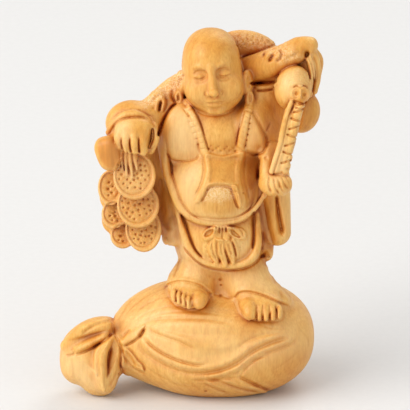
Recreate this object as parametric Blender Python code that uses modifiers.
"""A wood netsuke: a stout monk in an open robe stands on a full sack and carries a branch across the shoulders.
One piece of carved boxwood. Metres, +Z up, the figure faces -Y."""

import math

import bmesh
import bpy
import numpy as np
from mathutils import Euler, Matrix, Vector

# ---- Frame. The carving is laid out on a front drawing that looks down on it by TILT:
# u runs right, v runs down, and depth runs back, all in steps of STEP.
STEP = 0.155e-3
TILT = math.radians(20.0)
MIDDLE_U = 190.0
GROUND_V = 388.0

# ---- Resolution
VOXEL = 0.30e-3
SMOOTHING = 3
CRUMB = 12  # vertices: a loose scrap smaller than this is dropped
TRIANGLES = 9400
SOLE_CUT = 0.12e-3  # wood planed off the underside so that the figure stands

# ---- Boxwood
WOOD_COLOUR = (0.74, 0.47, 0.20, 1.0)
WOOD_ROUGHNESS = 0.45

# ---- Masses. A ball is (u, v, depth), (half width, half depth, half height), turn in degrees, power (2 is round).
# A limb is a list of ((u, v, depth), radius).
ROUND = (0, 0, 0)
SACK = [
    ((219, 337, 2), (96, 66, 59), ROUND, 2.3),
    ((178, 334, 0), (60, 50, 48), (0, 12, 0), 2.0),
    ((152, 338, -2), (42, 40, 38), (0, 22, 0), 2.0),
]
SACK_NECK = [((152, 346, -5), 35), ((127, 348, -10), 27), ((112, 350, -14), 24)]
SACK_MOUTH = [
    ((91, 348, -14), (31, 22, 26.5), (0, -22, 0), 2.0),
    ((83, 361, -19), (22.5, 22, 24), (0, 20, 0), 2.5),
    ((77, 369, -18), (12, 14, 14), ROUND, 2.0),
    ((100, 372, -24), (19, 17, 25), (0, 10, 0), 2.5),
    ((97, 334, -10), (20, 20, 15), (0, -22, 0), 2.0),
]
SACK_LOBES = [
    [((113, 340, -30), 6), ((103, 350, -40), 7), ((101, 366, -44), 7), ((104, 386, -40), 7)],
    [((117, 344, -30), 6), ((117, 358, -36), 6.5), ((111, 376, -38), 6.5), ((106, 388, -36), 6)],
]
LEG_RIGHT = [((206, 236, -4), 23), ((202, 262, -8), 21), ((192, 284, -14), 25)]
LEG_LEFT = [((238, 236, -4), 24), ((239, 260, -8), 22), ((250, 286, -15), 25), ((257, 298, -18), 26)]
SEAT = [((222, 278, 10), (41, 32, 38), ROUND, 2.0), ((280, 297, -15), (14, 16, 8.5), (0, 36, 0), 2.0)]
ROBE_TRUNK = [((217, 140, 6), 46), ((218, 200, 6), 47), ((219, 238, 4), 45)]
ROBE_TRUNK_SHARE = 0.84
ROBE_SKIRT = [
    ((221, 232, -2), (43, 41, 36), ROUND, 2.5),
    ((168.5, 238, -8), (6.5, 9, 7.5), ROUND, 2.0),
    ((178, 241, -16), (5, 6, 6), ROUND, 2.0),
    ((267.5, 252, -8), (6, 8, 9), ROUND, 2.0),
    ((258, 250, -6), (8, 9, 10), ROUND, 2.0),
]
ROBE_SIDE_RIGHT = [((170, 128, 2), 17), ((168, 160, 0), 13), ((169, 200, -4), 11), ((172, 234, -6), 8.5)]
ROBE_SIDE_LEFT = [((266, 150, 4), 15), ((265, 200, -2), 12), ((266, 244, -6), 8)]
ROBE_EDGE = [
    ((162, 136, -10), 5.6), ((165, 156, -20), 5.6), ((168.5, 176, -28), 5.2), ((174.5, 194, -34), 4.8), ((182, 208.5, -39), 4.2),
    ((192, 217.5, -42), 3.6), ((205, 221.8, -43.5), 3.2), ((221, 223, -44), 3.2), ((238, 219.5, -43), 3.2), ((252, 211, -40), 3.4), ((263, 199, -36), 3),
]
PANEL_HEM = [
    ((171, 204, -20), 4), ((176, 222, -27), 5), ((181, 238, -32.5), 5.2), ((189, 251.5, -37), 4.8), ((203, 261, -40), 3.6), ((222, 266, -41), 3.2),
    ((240, 264.5, -40), 3.4), ((252, 257.5, -38), 4), ((258, 244, -34), 4), ((257.5, 224, -31), 3.4), ((258, 208, -28), 2.6),
]
TORSO = [
    ((213, 182, -12), (46, 41, 43), ROUND, 2.0),
    ((215, 200, -18), (40, 32, 24), ROUND, 2.0),
    ((212, 132, -4), (46, 30, 34), ROUND, 2.0),
    ((183, 133, -14.5), (23, 18, 31), ROUND, 2.6),
    ((250, 130, -16), (18, 18, 25), ROUND, 2.3),
    ((172, 120, 2), (20, 22, 24), ROUND, 2.0),
    ((258, 116, 2), (20, 24, 28), ROUND, 2.0),
]
BEADS = [
    [((188, 104, -24), 3.6), ((193, 114, -30), 4.4), ((196, 126, -32.5), 5.2), ((200.5, 140, -34.5), 5.6), ((205, 152, -37), 5)],
    [((249, 104, -22), 4), ((246.5, 114, -28), 4.6), ((244, 126, -32), 5.4), ((242, 140, -35), 5.6), ((239.5, 152, -38), 5)],
]
NECK = [((214, 112, 0), 24), ((213, 90, -2), 24)]
HEAD = [
    ((210.8, 60.5, -8), (28.2, 32, 32), ROUND, 2.2),
    ((212, 74, -10), (29, 31, 32), ROUND, 2.0),
    ((214.5, 88, -13), (30, 28.5, 26), ROUND, 2.0),
]
EARS = [
    ((183, 84, -4), (4.4, 8, 13), (8, 0, -20), 2.0),
    ((181, 100, -9), (4.6, 5.5, 10.5), (8, 0, -20), 2.0),
    ((244.5, 83, -4), (4.4, 8, 13), (8, 0, 20), 2.0),
    ((246.5, 99, -9), (4.6, 5.5, 10.5), (8, 0, 20), 2.0),
]
# Face by the common rule of proportion: eye line half way down the head, nose base half way from there to the chin,
# mouth a third of the rest, face five eyes wide.
HEAD_MIDDLE = (212.5, 73.5, -11)
HEAD_WIDTH = 60
HEAD_HEIGHT = 84
FACE_DEPTH = 31
EYE_WIDTH = HEAD_WIDTH / 5
NOSE_DROP = HEAD_HEIGHT / 4
MOUTH_DROP = HEAD_HEIGHT / 3
HAT = [((248, 62, 24), (40, 14, 31.5), (0, 22, 0), 2.0)]
BRANCH = [
    ((116, 148, -38), 12.5), ((135, 130, -28), 14.5), ((160, 106, -4), 15), ((182, 88, 14), 15), ((215, 79, 20), 14),
    ((250, 69.5, 6), 14.2), ((274, 62.5, -4), 14.5), ((292, 54, -8), 12.5), ((303, 48, -9), 9.5),
]
BRANCH_ENDS = [
    ((110.5, 153.5, -42), (13, 10, 17.4), (10, -8, -14), 3.0),
    ((306, 47.5, -8), (10, 8.5, 8.5), ROUND, 2.0),
    ((158, 100, -12), (9, 8, 10), ROUND, 2.0),
]
WEB = [
    ((283, 86, 4), (26, 9, 32), ROUND, 2.0),
    ((275, 118, 0), (19, 12, 34), ROUND, 2.0),
    ((306, 74, -3), (10, 7, 26), (0, 6, 0), 2.0),
    ((262, 90, 18), (18, 10, 18), ROUND, 2.0),
]
RIGHT_SLEEVE = [((130, 122, -20), (24, 19, 21), (0, -18, 0), 2.0), ((134, 124, -38), (19, 12, 10), ROUND, 2.0)]
RIGHT_ARM = [((166, 124, 6), 17), ((150, 118, -8), 15), ((134, 120, -20), 15)]
RIGHT_CUFF = [((110, 133, -32), 3.8), ((116, 122, -38), 4.2), ((127, 115.5, -41), 4.4), ((140, 115, -40), 4.2), ((150, 120, -36), 3.6)]
RIGHT_SLEEVE_FALL = [((152, 130, 2), 13), ((155, 180, 4), 10), ((158, 228, 2), 7)]
RIGHT_HAND = [
    ((135.5, 131, -45), (20, 12, 13), ROUND, 2.3),
    ((148, 135, -40), (9.5, 11, 16), ROUND, 2.0),
    ((137, 143, -45), (18, 8, 11), ROUND, 2.0),
]
RIGHT_FINGERS = [
    [((121, 132, -49), 5), ((119.5, 139, -52), 4.7), ((121, 146.5, -51), 4)],
    [((127.6, 132, -51), 5), ((126.5, 141, -55), 4.9), ((128, 149.5, -53), 4)],
    [((135.2, 132, -51), 5.4), ((135, 142, -56), 5), ((135.5, 150.5, -54), 4.2)],
    [((143.5, 132, -50), 5.8), ((143.5, 142, -54), 5.4), ((144, 151.5, -52), 4.6)],
    [((154.5, 127, -42), 4.4), ((156, 139, -46), 4.2), ((151.5, 151, -46), 4)],
]
# Coin plates: centre, half width, half height, roll.
PLATE_HALF_THICKNESS = 5.2
PLATE_LEAN = -24
PLATE_YAW = 7
PLATES = [
    ((111.5, 188, -26), 12.5, 17.5, 0),
    ((115, 214, -24), 12.5, 14.5, 4),
    ((123, 235, -22), 12, 13, 0),
    ((143.5, 229, -28), 17.5, 22.5, -4),
    ((138.5, 205, -34), 20.5, 22.5, 2),
    ((135, 176, -41), 20.5, 23.5, 3),
]
PLATE_BACKS = [
    [((128, 165, -30), 9), ((140, 200, -20), 10), ((150, 226, -14), 8)],
    [((132, 205, -18), 9), ((160, 205, -8), 9)],
    [((113, 190, -16), 7), ((128, 200, -16), 9)],
    [((122, 230, -14), 7), ((140, 226, -14), 8)],
]
PLATE_FILL = [
    ((131, 206, -15), (22, 9, 38), ROUND, 2.3),
    ((119, 224, -16), (11, 7, 18), ROUND, 2.0),
    ((109, 197, -15), (9, 6, 13), ROUND, 2.0),
    ((111, 220, -14), (9, 6, 13), ROUND, 2.0),
]
PLATE_CORDS = [
    [((123, 148, -46), 3.2), ((122.5, 158, -47.5), 3), ((124, 171, -48.5), 2.4)],
    [((130.5, 150, -49), 3.2), ((131, 163, -49.5), 3), ((132, 177, -50.5), 2.4)],
    [((135.5, 150, -48), 3), ((136, 160, -49), 2.8), ((138, 171, -50), 2.2)],
]
LEFT_ARM = [((258, 112, 0), 17), ((266, 130, -6), 16), ((271, 150, -14), 14)]
LEFT_WRIST = [((266, 152, -22), 9), ((265, 168, -36), 9), ((268, 182, -43), 10)]
LEFT_HAND = [((268, 182, -43), (10, 11, 12), ROUND, 2.0), ((276, 184, -46), (15.5, 11.5, 11.5), ROUND, 2.3)]
LEFT_FINGERS = [
    [((268, 182, -52), 4), ((267.5, 188, -53), 4), ((269.5, 193, -50), 3.4)],
    [((274, 184, -54), 4.2), ((274, 190, -55), 4.2), ((276.5, 194.5, -51), 3.6)],
    [((281, 184, -53), 4), ((281, 189.5, -54), 4), ((282, 193, -50), 3.4)],
    [((287, 181, -49), 3.6), ((287, 185.5, -50), 3.6), ((286.5, 189.5, -47), 3)],
]
LEFT_SLEEVE_FALL = [((274, 176, -10), 15.5), ((275, 205, -12), 15.5), ((277, 232, -14), 14)]
LEFT_SLEEVE_SHARE = 0.85
GOURD = [
    ((292, 89, -20), (18, 18, 23), (0, 14, 0), 2.0),
    ((301, 112, -2), (18.5, 17, 22), (0, 8, 0), 2.0),
    ((298.5, 95, -37), (9, 6, 9), (0, 14, 0), 2.0),
]
ROPE = [
    [((299, 100, -34), 6), ((294, 118, -38), 7.5), ((290, 134, -39), 8), ((286, 150, -41), 8), ((282, 168, -44), 8)],
    [((290, 103, -38), 2.8), ((284.5, 117, -42), 3), ((281, 132, -44), 3), ((278, 147, -46), 3), ((273.5, 161, -48), 3), ((270, 172, -50), 2.8)],
    [((300, 104, -38), 4), ((296, 116, -41), 5), ((293, 128, -42), 5.4), ((289.5, 141, -43), 5.4), ((286.5, 155, -45), 5.4), ((283.5, 170, -47), 5.4)],
]
ROPE_KNOTS = [
    ((298.5, 108, -41.5), 4), ((296, 116, -43), 4.6), ((293.5, 124.5, -44), 4.8), ((292, 132.5, -44.5), 4.8),
    ((289.5, 140.5, -45), 4.6), ((287.5, 149, -46), 4.8), ((286, 157.5, -47), 4.6), ((284.5, 166, -48), 4.8),
]
ROPE_TAIL = [
    [((305, 52, -14), 3.2), ((309, 64, -14), 3.4), ((311, 80, -16), 3.4), ((309, 96, -18), 3)],
    [((309, 50, -10), 3.6), ((314.5, 62, -8), 4.6), ((315.5, 78, -8), 4.6), ((313.5, 92, -8), 3.4)],
    [((311, 50, -4), 4), ((318, 61, 0), 4.4), ((316, 76, 2), 4.4), ((312, 92, 4), 4)],
]
FEET = [
    ((190, 293, -33), (18.5, 20, 9.5), (22, 0, 3), 2.2),
    ((259, 302, -36), (21.5, 22, 10), (26, 0, -3), 2.2),
]
TOES = [
    ((174.2, 295, -43), (3.8, 7.5, 5), (35, 0, 4), 2.0),
    ((179, 297.4, -46.5), (3.8, 8, 5), (35, 0, 4), 2.0),
    ((183.8, 299.8, -49), (4, 8, 5), (35, 0, 4), 2.0),
    ((188.6, 301.8, -50.5), (4, 8, 5), (35, 0, 4), 2.0),
    ((199.5, 300, -47.5), (8.2, 11, 7.5), (28, 0, -4), 2.0),
    ((259.6, 313, -51.5), (4, 9, 5.4), (38, 0, -3), 2.0),
    ((266, 313.6, -51.5), (4, 9, 5.4), (38, 0, -3), 2.0),
    ((272.8, 313, -50.5), (3.9, 9, 5.2), (38, 0, -3), 2.0),
    ((279, 311.6, -48.5), (3.6, 8.5, 4.8), (38, 0, -3), 2.0),
    ((249.2, 309, -48.5), (8.4, 13, 8.5), (30, 0, 8), 2.0),
]

# ---- Knife work: path on the drawing, width, depth (positive cuts in, negative stands proud), nearest and farthest depth.
FRONT, BACK = -90, 60
KNIFE = [
    # folds that sweep round the sack from its tied mouth
    ([(137, 342), (147, 354), (165, 365), (185, 372), (205, 373), (224, 369), (240, 361), (252, 352), (263, 346), (276, 341), (291, 338)], 2.6, 2.4, FRONT, 0),
    ([(143, 334), (155, 345), (172, 354), (190, 359), (206, 361)], 2.6, -1.4, FRONT, 0),
    ([(143, 337), (152, 346), (164, 354), (180, 361), (196, 365), (206, 365)], 2.2, 1.6, FRONT, 0),
    ([(206, 381), (224, 377), (240, 371), (250, 362), (262, 355), (275, 350), (290, 344), (297, 338)], 2.4, 2.0, FRONT, 0),
    ([(200, 377), (224, 373), (242, 366), (256, 354), (274, 345)], 2.4, -1.4, FRONT, 0),
    ([(143, 324), (152, 320.5), (170, 318.5), (195, 318.5), (215, 320), (234, 324)], 2.6, 1.2, FRONT, 0),
    ([(238, 376), (246, 380), (256, 385), (270, 391)], 2.2, 1.8, FRONT, 0),
    ([(216, 380), (230, 385), (246, 390)], 2.2, 1.6, FRONT, 0),
    # crease of the sack's neck and the gathers of its mouth
    ([(113, 317), (112.5, 325), (114, 334), (119, 343), (121, 352), (120, 364), (123, 376)], 2.2, 1.6, FRONT, 0),
    ([(121, 341), (131, 334), (143, 327)], 3.0, -2.0, FRONT, 0),
    ([(144.5, 328), (141, 335), (134, 341), (125, 346)], 2.0, 1.8, FRONT, 0),
    ([(113, 333), (105, 340), (97, 345), (88, 350), (75, 355.5)], 2.4, 2.4, FRONT, -6),
    ([(113, 341), (110, 348), (108, 356), (107, 366), (107, 377)], 2.4, 2.8, FRONT, -12),
    ([(112, 321), (103, 323), (93, 327), (81, 334)], 2.2, 1.4, FRONT, -2),
    ([(77, 360), (86, 364), (93, 371), (98, 379)], 2.4, -1.2, FRONT, -12),
    # robe: grooves beside the edge band and inside the panel's hem, valley on the left side
    ([(165.5, 138), (167.5, 150), (170.8, 162), (173, 176), (177, 189), (182, 201), (189, 211), (198, 217), (210, 218.5), (222, 219), (236, 217), (247, 211), (256, 203)], 2.0, 1.6, FRONT, -6),
    ([(177, 211), (180, 221), (184.5, 233), (190, 245), (196, 254)], 2.4, 2.6, FRONT, -6),
    ([(253, 212), (253.2, 222), (253.4, 236), (252.5, 249)], 2.6, 2.8, FRONT, -6),
    ([(181, 246), (188, 254), (196, 262), (206, 268), (220, 271), (233, 271), (245, 269), (254.5, 264.5), (260.5, 257)], 2.0, 1.4, FRONT, -6),
    ([(163, 182), (167, 196), (170, 210), (171, 224)], 3.6, 3.0, FRONT, 4),
    # sleeves: hanging slot on the left, gap beside the body on the right
    ([(277, 196), (279, 214), (282, 234)], 2.8, 5.5, FRONT, 0),
    ([(263.5, 200), (266, 214), (268.5, 228), (273, 243)], 2.8, 2.8, FRONT, 0),
    ([(177, 104), (171, 109), (166, 117), (162, 126), (158, 137)], 2.2, 3.0, FRONT, 10),
    ([(110.5, 135), (114.5, 127.5), (120.5, 121.5), (130, 118.8), (142, 118.5), (150.5, 121.5), (156, 128)], 1.8, 1.2, FRONT, -26),
    ([(252, 112), (257, 121), (262, 131), (266, 140), (266, 148)], 2.4, 2.0, FRONT, 4),
    # clefts of the fingers and of the toes
    ([(122.8, 136), (122.6, 144), (123.6, 151)], 1.6, 1.6, FRONT, -40),
    ([(131, 136), (130.8, 144), (131.8, 153)], 1.6, 1.6, FRONT, -40),
    ([(139.6, 136), (139.4, 145), (140.4, 154)], 1.6, 1.6, FRONT, -40),
    ([(152.6, 131), (152.8, 139), (150, 147)], 2.0, 3.0, FRONT, -34),
    ([(177, 291), (175.8, 295), (177, 302)], 1.6, 1.4, FRONT, -30),
    ([(182.4, 291), (180.6, 297), (182, 304)], 1.6, 1.4, FRONT, -30),
    ([(188, 292), (185.3, 298.5), (186.6, 306)], 1.6, 1.4, FRONT, -30),
    ([(194, 294), (190.6, 300), (190, 307)], 1.6, 1.4, FRONT, -30),
    ([(256.8, 305), (256.3, 312), (256.6, 321)], 1.6, 1.6, FRONT, -30),
    ([(263.2, 304), (262.4, 312), (262.6, 321)], 1.6, 1.6, FRONT, -30),
    ([(269.2, 304.5), (269.8, 312), (269.4, 320.5)], 1.6, 1.6, FRONT, -30),
    ([(275.2, 305), (276.6, 312), (276, 319)], 1.6, 1.6, FRONT, -30),
    # apron and its ribbon, breasts
    ([(206, 155), (224, 156), (242, 153.5)], 2.4, -1.6, FRONT, -8),
    ([(206.5, 158), (207, 170), (204.5, 183), (198, 199)], 2.4, -2.0, FRONT, -8),
    ([(242, 156), (240, 172), (243, 190), (245, 203)], 2.4, -1.8, FRONT, -8),
    ([(205, 188), (211, 184.5), (221, 183.5), (231, 185)], 2.2, -1.8, FRONT, -8),
    ([(234, 187), (236, 196), (240, 207)], 2.4, -2.6, FRONT, -8),
    ([(167.5, 153), (172, 159.5), (179, 161.5), (188, 161.2), (196, 159)], 2.0, 1.2, FRONT, -8),
    ([(246, 152), (254, 154.5), (262, 153), (266, 146)], 2.0, 1.8, FRONT, -8),
    # bow under the belly
    ([(204, 235), (209, 230), (216, 229)], 3.0, -2.8, FRONT, -8),
    ([(228, 229), (236, 229.5), (244, 235)], 3.0, -2.8, FRONT, -8),
    ([(217, 229), (216, 240), (212, 249), (216, 260)], 2.6, -2.2, FRONT, -8),
    ([(222, 229), (221, 240), (221, 250), (225, 264)], 2.6, -2.6, FRONT, -8),
    ([(226, 229), (228, 240), (230, 251), (233, 261)], 2.6, -2.4, FRONT, -8),
    ([(229, 232), (233, 241), (236, 250), (238, 256)], 2.4, -2.0, FRONT, -8),
    # trouser hems and the hollow between the legs
    ([(166, 287), (171, 283.5), (180, 281.5), (192, 283), (202, 287), (208, 292), (211, 297)], 1.8, 1.4, FRONT, -8),
    ([(236, 297), (239.5, 293), (249, 292), (262.5, 295.2), (272.5, 299.4), (280, 303), (287, 305.5)], 1.8, 1.6, FRONT, -8),
    ([(208, 273), (213, 281), (217, 290)], 4.5, 1.8, FRONT, -8),
    # knot holes of the branch, openings under it
    ([(161.5, 102), (160.2, 107), (159.5, 112.5)], 2.0, 3.4, FRONT, 20),
    ([(272.5, 56), (270.5, 60), (268.5, 63)], 2.2, 3.0, FRONT, 20),
    ([(250, 84.5), (262, 84), (275, 82.4)], 2.2, 5.0, FRONT, 26),
    ([(239, 60), (248, 56.5), (259, 52.5), (272, 47), (283, 43)], 2.0, 1.8, FRONT, 26),
]


def plate_lines():
    """A groove inside each plate's rim, open at the top where the next plate covers it."""
    lines = []
    for (u, v, y), half_width, half_height, roll in PLATES:
        around = [math.radians(a) for a in range(-30, 211, 30)]
        path = [(u - 0.8 + (half_width - 4.2) * math.cos(a), v - 1.2 + (half_height - 4.8) * math.sin(a)) for a in around]
        lines.append((path, 1.6, 1.5, y - 16, y + 8))
    return lines


def face_point(right, down, forward):
    """A point of the face on the drawing: steps from the head's middle, down along its height."""
    u, v, y = HEAD_MIDDLE
    depth = y - forward
    return (u + right, v + down * math.cos(TILT) - (depth - y) * math.sin(TILT), depth)


def face_lines():
    """Closed eyes, brows and a closed mouth as knife lines."""
    lines = []
    for side in (-1, 1):
        for drop, sag, width, depth in ((0, 2.0, 1.7, 1.7), (-9, -3.0, 2.2, -1.2)):
            path = [face_point(side * EYE_WIDTH * k, drop + sag * (1 - (2 * k - 2) ** 2), FACE_DEPTH - 2)[:2] for k in (0.5, 0.75, 1.0, 1.25, 1.5)]
            lines.append((path, width, depth, FRONT, -20))
    half = 0.75 * EYE_WIDTH
    mouth = [face_point(half * k, MOUTH_DROP - 1.2 * k * k, FACE_DEPTH - 4)[:2] for k in (-1, -0.5, 0, 0.5, 1)]
    lines.append((mouth, 1.7, 1.6, FRONT, -20))
    return lines


def place(at):
    u, v, y = at
    z = (GROUND_V - v - y * math.sin(TILT)) / math.cos(TILT)
    return Vector((u - MIDDLE_U, y, z)) * STEP


def add_ball(shape, at, half, turn=(0, 0, 0), power=2.0):
    """An ellipsoid, squarer as the power grows."""
    knob = bmesh.new()
    bmesh.ops.create_uvsphere(knob, u_segments=40, v_segments=24, radius=1.0)
    spin = Euler([math.radians(a) for a in turn], "XYZ").to_matrix()
    centre = place(at)
    for vert in knob.verts:
        p = vert.co
        reach = sum(abs(c) ** power for c in p) ** (1.0 / power)
        p = p / reach
        vert.co = spin @ Vector(c * h * STEP for c, h in zip(p, half)) + centre
    join(shape, knob)


def join(shape, piece):
    held = bpy.data.meshes.new("piece")
    piece.to_mesh(held)
    piece.free()
    shape.from_mesh(held)
    bpy.data.meshes.remove(held)


def eased(points, between=5):
    """Points on a Catmull-Rom curve through the given ones, any number of columns."""
    points = np.asarray(points, float)
    if len(points) < 3:
        return points
    ends = np.vstack([2 * points[0] - points[1], points, 2 * points[-1] - points[-2]])
    out = []
    for a, b, c, d in zip(ends, ends[1:], ends[2:], ends[3:]):
        for t in np.arange(between) / between:
            out.append(b + 0.5 * t * (c - a + t * (2 * a - 5 * b + 4 * c - d + t * (3 * (b - c) + d - a))))
    out.append(points[-1])
    return np.array(out)


def add_limb(shape, chain, share=1.0):
    """A round bar through the chain's points with a radius at each; share makes it thinner from front to back."""
    rows = eased([(*place(at), radius * STEP) for at, radius in chain])
    curve = bpy.data.curves.new("limb", "CURVE")
    curve.dimensions = "3D"
    curve.bevel_depth = 1.0
    curve.bevel_resolution = 6
    curve.use_fill_caps = True
    spline = curve.splines.new("POLY")
    spline.points.add(len(rows) - 1)
    middle = float(rows[:, 1].mean())
    for point, (x, y, z, radius) in zip(spline.points, rows):
        point.co = (x, middle + (y - middle) / share, z, 1.0)
        point.radius = radius
    holder = bpy.data.objects.new("limb", curve)
    bpy.context.scene.collection.objects.link(holder)
    bpy.context.view_layer.update()
    bar = bpy.data.meshes.new_from_object(holder.evaluated_get(bpy.context.evaluated_depsgraph_get()))
    squash = Matrix.Translation((0, middle, 0)) @ Matrix.Diagonal((1, share, 1, 1)) @ Matrix.Translation((0, -middle, 0))
    bar.transform(squash)
    shape.from_mesh(bar)
    bpy.data.objects.remove(holder, do_unlink=True)
    bpy.data.curves.remove(curve)
    bpy.data.meshes.remove(bar)
    for row in (rows[0], rows[-1]):
        knob = bmesh.new()
        bmesh.ops.create_uvsphere(knob, u_segments=24, v_segments=16, radius=1.0)
        for vert in knob.verts:
            x, y, z = vert.co
            vert.co = Vector((row[0] + x * row[3], row[1] + y * row[3] * share, row[2] + z * row[3]))
        join(shape, knob)


def modified(mesh, kind, **settings):
    """The mesh after one modifier."""
    holder = bpy.data.objects.new("blank", mesh)
    bpy.context.scene.collection.objects.link(holder)
    modifier = holder.modifiers.new(kind.title(), kind)
    for key, value in settings.items():
        setattr(modifier, key, value)
    bpy.context.view_layer.update()
    result = bpy.data.meshes.new_from_object(holder.evaluated_get(bpy.context.evaluated_depsgraph_get()))
    bpy.data.objects.remove(holder, do_unlink=True)
    bpy.data.meshes.remove(mesh)
    return result


def rough_out():
    """All masses joined in one closed skin."""
    shape = bmesh.new()
    for group in (SACK, SACK_MOUTH, SEAT, ROBE_SKIRT, TORSO, HEAD, EARS, HAT, BRANCH_ENDS, WEB, RIGHT_SLEEVE, RIGHT_HAND, PLATE_FILL, LEFT_HAND, GOURD, FEET, TOES):
        for at, half, turn, power in group:
            add_ball(shape, at, half, turn, power)
    add_ball(shape, face_point(0, NOSE_DROP - 4, FACE_DEPTH - 2), (EYE_WIDTH / 2, 5, 5))
    add_ball(shape, face_point(0, NOSE_DROP - 11, FACE_DEPTH - 2), (3, 3.5, 9))
    for at, half_width, half_height, roll in PLATES:
        add_ball(shape, at, (half_width, PLATE_HALF_THICKNESS, half_height), (PLATE_LEAN, roll, PLATE_YAW), 2.6)
    for at, radius in ROPE_KNOTS:
        add_ball(shape, at, (radius * 1.1, 4, radius * 0.95))
    for chain in (SACK_NECK, LEG_RIGHT, LEG_LEFT, ROBE_SIDE_RIGHT, ROBE_SIDE_LEFT, ROBE_EDGE, PANEL_HEM, NECK, BRANCH, RIGHT_ARM, RIGHT_CUFF, RIGHT_SLEEVE_FALL, LEFT_ARM, LEFT_WRIST):
        add_limb(shape, chain)
    for group in (SACK_LOBES, BEADS, RIGHT_FINGERS, PLATE_BACKS, PLATE_CORDS, LEFT_FINGERS, ROPE, ROPE_TAIL):
        for chain in group:
            add_limb(shape, chain)
    add_limb(shape, ROBE_TRUNK, ROBE_TRUNK_SHARE)
    add_limb(shape, LEFT_SLEEVE_FALL, LEFT_SLEEVE_SHARE)
    mesh = bpy.data.meshes.new("blank")
    shape.to_mesh(mesh)
    shape.free()
    return modified(mesh, "REMESH", mode="VOXEL", voxel_size=VOXEL, adaptivity=0.0)


def cut_lines(mesh):
    """Presses the knife lines into the skin, each one along the drawing's line of sight."""
    count = len(mesh.vertices)
    points = np.empty(count * 3, np.float64)
    mesh.vertices.foreach_get("co", points)
    normals = np.empty(count * 3, np.float64)
    mesh.vertices.foreach_get("normal", normals)
    points, normals = points.reshape(-1, 3), normals.reshape(-1, 3)
    x, y, z = (points / STEP).T
    u = x + MIDDLE_U
    v = GROUND_V - z * math.cos(TILT) - y * math.sin(TILT)
    facing = np.clip(0.35 - normals[:, 1], 0, 1)
    push = np.zeros(count)
    for path, width, depth, nearest, farthest in KNIFE + plate_lines() + face_lines():
        path = eased(path, 6)
        reach = 3 * width
        low, high = path.min(axis=0) - reach, path.max(axis=0) + reach
        held = np.nonzero((u > low[0]) & (u < high[0]) & (v > low[1]) & (v < high[1]) & (y > nearest) & (y < farthest))[0]
        if not len(held):
            continue
        gap = np.full(len(held), np.inf)
        along = np.zeros(len(held))
        spans = np.linalg.norm(np.diff(path, axis=0), axis=1)
        start = np.concatenate([[0], np.cumsum(spans)])
        for i, (a, b) in enumerate(zip(path, path[1:])):
            way = b - a
            t = np.clip(((u[held] - a[0]) * way[0] + (v[held] - a[1]) * way[1]) / (way @ way), 0, 1)
            here = np.hypot(u[held] - a[0] - t * way[0], v[held] - a[1] - t * way[1])
            nearer = here < gap
            gap[nearer] = here[nearer]
            along[nearer] = ((start[i] + t * spans[i]) / start[-1])[nearer]
        ease = np.clip(np.minimum(along, 1 - along) / 0.12, 0.25, 1)
        push[held] += depth * np.exp(-((gap / width) ** 2)) * ease * facing[held]
    points = points - normals * np.clip(push, -4.5, 6)[:, None] * STEP
    mesh.vertices.foreach_set("co", points.reshape(-1).astype(np.float32))
    mesh.update()


def largest_body(mesh):
    """Leaves out the crumbs of a few triangles that thinning splits off."""
    shape = bmesh.new()
    shape.from_mesh(mesh)
    waiting = set(shape.verts)
    bodies = []
    while waiting:
        body = [waiting.pop()]
        for vert in body:
            for edge in vert.link_edges:
                other = edge.other_vert(vert)
                if other in waiting:
                    waiting.discard(other)
                    body.append(other)
        bodies.append(body)
    bodies.sort(key=len)
    crumbs = [vert for body in bodies[:-1] if len(body) < CRUMB for vert in body]
    bmesh.ops.delete(shape, geom=crumbs, context="VERTS")
    shape.to_mesh(mesh)
    shape.free()


def plane_underside(mesh, level):
    """Cuts the mesh flat at the level and closes it with one face."""
    shape = bmesh.new()
    shape.from_mesh(mesh)
    geometry = list(shape.verts) + list(shape.edges) + list(shape.faces)
    cut = bmesh.ops.bisect_plane(shape, geom=geometry, dist=1e-6, plane_co=(0, 0, level), plane_no=(0, 0, 1), clear_inner=True)
    rim = [e for e in cut["geom_cut"] if isinstance(e, bmesh.types.BMEdge)]
    bmesh.ops.holes_fill(shape, edges=[e for e in shape.edges if e.is_boundary] or rim, sides=0)
    bmesh.ops.triangulate(shape, faces=[f for f in shape.faces if len(f.verts) > 3])
    bmesh.ops.recalc_face_normals(shape, faces=shape.faces)
    shape.to_mesh(mesh)
    shape.free()


def centre_on_origin(mesh):
    corners = np.empty(len(mesh.vertices) * 3, np.float32)
    mesh.vertices.foreach_get("co", corners)
    corners = corners.reshape(-1, 3)
    low, high = corners.min(axis=0), corners.max(axis=0)
    corners -= ((low[0] + high[0]) / 2, (low[1] + high[1]) / 2, low[2])
    mesh.vertices.foreach_set("co", corners.reshape(-1))
    mesh.update()


def boxwood():
    material = bpy.data.materials.new("boxwood")
    material.use_nodes = True
    shader = material.node_tree.nodes["Principled BSDF"]
    shader.inputs["Base Color"].default_value = WOOD_COLOUR
    shader.inputs["Roughness"].default_value = WOOD_ROUGHNESS
    shader.inputs["Metallic"].default_value = 0.0
    return material


def main():
    for old in list(bpy.data.objects):
        bpy.data.objects.remove(old, do_unlink=True)
    mesh = rough_out()
    mesh = modified(mesh, "SMOOTH", factor=0.5, iterations=SMOOTHING)
    cut_lines(mesh)
    mesh = modified(mesh, "SMOOTH", factor=0.5, iterations=1)
    mesh = modified(mesh, "TRIANGULATE")
    mesh = modified(mesh, "DECIMATE", ratio=TRIANGLES / len(mesh.polygons), use_collapse_triangulate=True)
    largest_body(mesh)
    lowest = min(vert.co.z for vert in mesh.vertices)
    plane_underside(mesh, max(lowest, 0.0) + SOLE_CUT)
    centre_on_origin(mesh)
    mesh.materials.clear()
    mesh.materials.append(boxwood())
    home = bpy.data.collections.new("wood_netsuke")
    bpy.context.scene.collection.children.link(home)
    figure = bpy.data.objects.new("netsuke_figure", mesh)
    home.objects.link(figure)


main()
